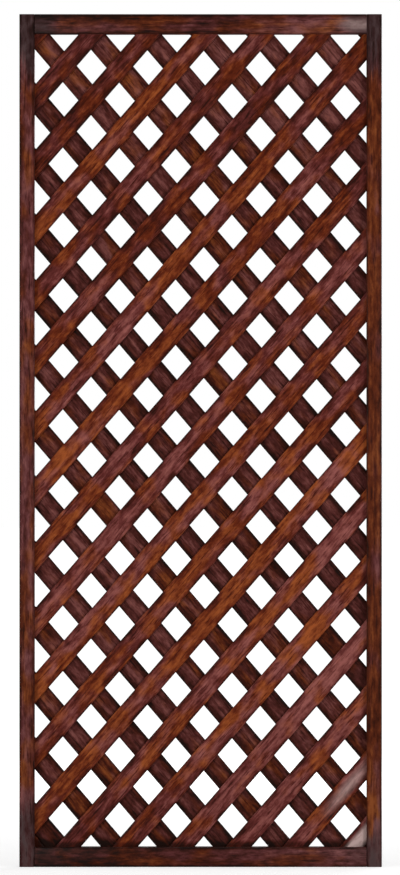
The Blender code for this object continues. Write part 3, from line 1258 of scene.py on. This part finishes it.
@dataclass
class CrossingStaples:
    """Flat wire staples, driven from behind to pin the laths to each other where they cross."""

    front: LathLayer
    back: LathLayer
    crown: float = 0.0105
    wire_width: float = 0.0013
    wire_thickness: float = 0.0007
    wire_bend: float = 0.00049
    leg: float = 0.011
    sunk: float = 0.0001
    margin: float = 0.014
    turn_spread: float = 0.12
    place_spread: float = 0.0020

    def crossings(self) -> Iterator[Vector]:
        """Go through the crossings that lie clear of the frame.

        Yields:
            The middle of each crossing, on the screen's middle plane.
        """
        sizes = self.front.sizes
        reach_x = sizes.opening_half_width - self.margin
        reach_z = sizes.opening_height / 2 - self.margin
        first, second = self.front.across, self.back.across
        spread = first.x * second.z - first.z * second.x
        for i, j in product(range(self.front.count), range(self.back.count)):
            a, b = self.front.distance(i), self.back.distance(j)
            x = (a * second.z - first.z * b) / spread
            z = (first.x * b - a * second.x) / spread
            if abs(x) < reach_x and abs(z) < reach_z:
                yield Vector((x, 0, z + sizes.middle_height))

    def pattern(self) -> Object:
        """Shape one staple, with its crown along X and its legs towards -Y.

        Returns:
            The pattern, with the underside of its crown at Y = 0.
        """
        half = self.crown / 2
        thickness = self.wire_thickness
        inner = half - thickness
        bpy.ops.mesh.primitive_cube_add(size=1, location=(0, thickness / 2, 0))
        staple = open_blank("staple_pattern", (self.crown, thickness, self.wire_width))
        for x in (-inner, inner):
            score(x * X_AXIS, X_AXIS)
        pick(Element.FACES, lambda at: abs(at.y) < SAME_PLACE and abs(at.x) > inner)
        draw_out(-self.leg * Y_AXIS)
        round_off(
            Element.EDGES,
            lambda at: abs(at.y - thickness) < SAME_PLACE and abs(at.x) > half - SAME_PLACE,
            self.wire_bend,
            steps=3,
        )
        close_up(staple)
        return staple

    def make(self, finish: ZincPlatedSteel, chance: random.Random) -> None:
        """Drive a staple into each crossing and join them all into one piece.

        Args:
            finish: the staples' metal.
            chance: the seeded source of how each one sits.
        """
        pattern = self.pattern()
        pattern.data.materials.append(finish.make())
        face_y = self.back.sizes.layer_offset + self.back.sizes.lath_thickness / 2 - self.sunk
        staples = []
        for number, crossing in enumerate(self.crossings(), start=1):
            staple = copy_of(pattern, f"staple_{number:03d}")
            nudge = Vector((chance.uniform(-1, 1), 0, chance.uniform(-1, 1))) * self.place_spread
            staple.location = crossing + nudge + face_y * Y_AXIS
            staple.rotation_euler = (0, chance.gauss(0, self.turn_spread), 0)
            staples.append(staple)
        take_up(staples[0])
        for staple in staples:
            staple.select_set(True)
        bpy.ops.object.join()
        staples[0].name = "crossing_staples"
        settle(staples[0])
        throw_away(pattern)
        hand_over(staples[0], "screw_steel")
        LOG.info("crossing_staples: %d staples", len(staples))


@dataclass(frozen=True)
class SoftLamp:
    """A square soft lamp: its place, the length of its side and its power in watts."""

    name: str
    place: Vector
    size: float
    power: float


@dataclass
class Studio:
    """The floor, the white world, the lamps and the camera at the photograph's viewpoint.

    To the camera the floor glows a little less than white near the screen, which keeps the screen's shadow,
    and fully white past the glow's end.
    """

    sizes: ScreenSizes
    lamps: tuple[SoftLamp, ...] = (
        SoftLamp("left_softbox", Vector((-3.4, -4.2, 1.1)), 1.5, 112.0),
        SoftLamp("right_softbox", Vector((3.4, -4.2, 1.0)), 1.5, 122.0),
        SoftLamp("top_softbox", Vector((0.0, -0.6, 4.8)), 2.0, 55.0),
        SoftLamp("back_softbox", Vector((2.2, 4.6, 1.6)), 2.0, 140.0),
    )
    camera_distance: float = 16.0
    camera_x: float = -0.0013
    camera_height: float = 0.9065
    view_height: float = 1.8463
    view_range: Pair = (0.1, 200.0)
    sensor: float = 36.0
    floor_size: float = 120.0
    floor_colour: str = "CACACA"
    near_glow: float = 0.62
    far_glow: float = 1.0
    glow_start: float = 1.0
    glow_end: float = 4.5
    room_fill: float = 0.18
    backdrop_edge: float = 0.3

    def floor(self) -> None:
        """Lay a plain pale floor, which looks white but keeps the screen's shadow."""
        bpy.ops.mesh.primitive_plane_add(size=self.floor_size, location=(0, 0, 0))
        floor = open_blank("studio_floor")
        bpy.ops.mesh.subdivide(number_cuts=3)
        deselect_all()
        material, add, shader = new_material("painted_studio_floor")
        away = add("VectorMath", [add("TexCoord").outputs["Object"]], operation="LENGTH").outputs["Value"]
        span = {"From Min": self.glow_start, "From Max": self.glow_end}
        glows = {"To Min": self.near_glow, "To Max": self.far_glow}
        white = add("MapRange", {"Value": away, **span, **glows}, **SMOOTH)
        glow = add("Math", [add("LightPath").outputs["Is Camera Ray"], white], operation="MULTIPLY")
        feed(shader, {"Base Color": linear_colour(self.floor_colour), "Roughness": 1.0})
        feed(shader, {"Specular IOR Level": 0.0, "Emission Color": (1, 1, 1, 1), "Emission Strength": glow})
        floor.data.materials.append(material)
        floor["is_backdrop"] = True

    def world(self) -> None:
        """Surround the scene with a white backdrop and a dim room on the camera's side."""
        world = bpy.data.worlds.new("studio_room")
        world.use_nodes = True
        bpy.context.scene.world = world
        add = partial(add_node, world.node_tree)
        ray = add("LightPath").outputs
        depth = add("SeparateXYZ", [add("TexCoord").outputs["Generated"]]).outputs["Y"]
        span = {"From Min": -self.backdrop_edge, "From Max": self.backdrop_edge}
        behind = add("MapRange", {"Value": depth, **span}, **SMOOTH)
        mirrored = add("Math", [ray["Is Glossy Ray"], ray["Is Transmission Ray"]], operation="MAXIMUM")
        backdrop = add("Math", [mirrored, behind], operation="MULTIPLY")
        white = add("Math", [ray["Is Camera Ray"], backdrop], operation="MAXIMUM")
        strength = add("Math", [white, self.room_fill], operation="MAXIMUM")
        feed(world.node_tree.nodes["Background"], {"Color": (1, 1, 1, 1), "Strength": strength})

    def hang(self, lamp: SoftLamp) -> None:
        """Hang a lamp that points at the middle of the screen and isn't seen itself.

        Args:
            lamp: the lamp's place, size and power.
        """
        light = bpy.data.lights.new(lamp.name, "AREA")
        light.shape = "SQUARE"
        light.size = lamp.size
        light.energy = lamp.power
        hung = bpy.data.objects.new(lamp.name, light)
        bpy.context.scene.collection.objects.link(hung)
        hung.location = lamp.place
        aim = self.sizes.middle_height * Z_AXIS - lamp.place
        hung.rotation_euler = aim.to_track_quat("-Z", "Y").to_euler()
        hung.visible_camera = False

    def camera(self) -> None:
        """Set up the camera, square on to the screen and level with its middle."""
        data = bpy.data.cameras.new("photo_camera")
        data.sensor_width = self.sensor
        data.lens = self.sensor * self.camera_distance / self.view_height
        data.clip_start, data.clip_end = self.view_range
        camera = bpy.data.objects.new("photo_camera", data)
        bpy.context.scene.collection.objects.link(camera)
        camera.location = (self.camera_x, -self.camera_distance - self.sizes.depth / 2, self.camera_height)
        camera.rotation_euler = (math.pi / 2, 0, 0)
        bpy.context.scene.camera = camera

    def make(self) -> None:
        """Set up the whole studio."""
        self.floor()
        self.world()
        for lamp in self.lamps:
            self.hang(lamp)
        self.camera()
        bpy.context.scene.view_settings.view_transform = "Standard"


def write_sizes() -> None:
    """Write the CAD model's box and the finished model's box side by side."""
    boxes = {"cad": CAD_BOX, "visual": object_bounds()}
    plain = {name: [list(corner) for corner in box] for name, box in boxes.items()}
    LOG.info("boxes: %s", plain)


def main() -> None:
    """Build every piece in order, then the studio."""
    logging.basicConfig(level=logging.INFO, format="%(name)s %(message)s")
    chance = random.Random(SEED)
    sizes = ScreenSizes()
    deselect_all()

    holes = Screw(sizes).make(ZincPlatedSteel("zinc_plated_screw_steel"))

    stile_wood = StainedWood(
        name="stained_hardwood_stile",
        half_size=Vector((sizes.height, sizes.stile_width, sizes.depth)) / 2,
        colours=("1D0B07", "3F1912", "5D2C2A", "8B5450"),
        body_light=0.56,
        arris_width=0.0050,
        arris_shade=0.30,
        trends=(Trend(Z_AXIS, 0.34, 0.12, 0.20),),
        end_length=0.13,
        end_shade_low=0.86,
        end_shade_high=1.12,
    )
    Stile(sizes, Side.LEFT).make(stile_wood, holes, chance, StainTone(light=0.02, warm=-0.02))
    Stile(sizes, Side.RIGHT).make(stile_wood, holes, chance, StainTone(light=-0.04, warm=0.13))

    rail_wood = replace(
        stile_wood,
        name="stained_hardwood_rail",
        half_size=Vector((2 * sizes.opening_half_width, sizes.rail_width, sizes.depth)) / 2,
        body_light=0.40,
        arris_width=0.0055,
        arris_shade=0.32,
        # Lighter towards the right end, and a darker band along the top rail's outer edge
        trends=(Trend(X_AXIS, 0.0, 0.24, 0.30), Trend(Z_AXIS, 1.787, 1.791, -0.18)),
        end_length=0.050,
        end_shade_low=0.32,
        end_shade_high=0.80,
        # Painted sheen on the top rail's right end
        haze_centre=Vector((0.33, 0, 1.782)),
        haze_radius=0.06,
        haze_strength=0.60,
    )
    Rail(sizes, Level.BOTTOM).make(rail_wood, holes, chance, StainTone(light=-0.12, warm=-0.05))
    Rail(sizes, Level.TOP).make(rail_wood, holes, chance, StainTone(light=0.02, warm=0.04))
    for hole in holes:
        throw_away(hole)

    # Single laths are lighter, darker, redder or greyer, as in the photograph
    front = LathLayer(
        sizes,
        Layer.FRONT,
        width=0.041,
        angle=math.radians(49.0),
        first_inset=0.0,
        last_inset=0.0225,
        corner_reach=0.004,
        lights={
            1: -0.12, 2: -0.15, 3: -0.15, 4: 0.12, 6: -0.07, 7: 0.07,
            9: -0.13, 10: 0.03, 12: -0.04, 14: -0.05, 16: 0.06,
        },
        warmths={4: 0.05, 7: 0.03, 10: -0.08, 12: 0.08, 14: -0.04, 16: -0.12, 17: -0.12, 19: -0.12},
        # Painted sheen on the last lath in the bottom right corner
        hazes={19: 1.35},
    )
    back = LathLayer(
        sizes,
        Layer.BACK,
        width=0.045,
        angle=-math.radians(49.5),
        first_inset=0.039,
        last_inset=-0.008,
        strip_width=0.030,
        lights={9: -0.08, 10: 0.05, 18: 0.04},
        warmths={10: -0.12, 12: -0.08, 17: -0.12, 18: -0.20},
    )
    front_wood = StainedWood(
        name="stained_hardwood_front_lath",
        half_size=Vector((sizes.height, front.width, sizes.lath_thickness)) / 2,
        colours=("260A04", "43160D", "662B26", "9F5C53"),
        body_light=0.34,
        arris_width=0.0045,
        arris_shade=0.24,
        wiped_light=0.22,
        trends=(
            # Lighter towards the lower right, and darker again near the bottom
            Trend(Vector((-0.3, 0, 1.0)), 1.60, 0.6, 0.17),
            Trend(Z_AXIS, 0.42, 0.08, -0.12),
            # Painted shadow of the bottom rail on the laths just above it
            Trend(Z_AXIS, 0.058, 0.046, -0.40),
        ),
        # Painted sheen along the laths near the bottom right corner
        haze_centre=Vector((0.318, 0, 0.165)),
        haze_radius=0.10,
        haze_strength=0.52,
        crossed_by=back.row(),
    )
    front.make(front_wood, chance)
    back_wood = StainedWood(
        name="stained_hardwood_back_lath",
        half_size=Vector((sizes.height, back.width, sizes.lath_thickness)) / 2,
        colours=("190702", "39130A", "572722", "8B524A"),
        body_light=0.31,
        arris_width=0.0045,
        arris_shade=0.24,
        wiped_light=0.24,
        trends=(
            # Lighter towards the top right, and darker towards the bottom
            Trend(Vector((0.3, 0, 1.0)), 1.3, 1.75, 0.15),
            Trend(Z_AXIS, 0.50, 0.08, -0.08),
            # Painted shadow of the bottom rail on the laths just above it
            Trend(Z_AXIS, 0.062, 0.046, -0.45),
        ),
        crossed_by=front.row(),
    )
    back.make(back_wood, chance)
    CrossingStaples(front, back).make(ZincPlatedSteel("galvanised_staple_wire"), chance)
    Studio(sizes).make()


if __name__ == "__main__":
    main()
    write_sizes()
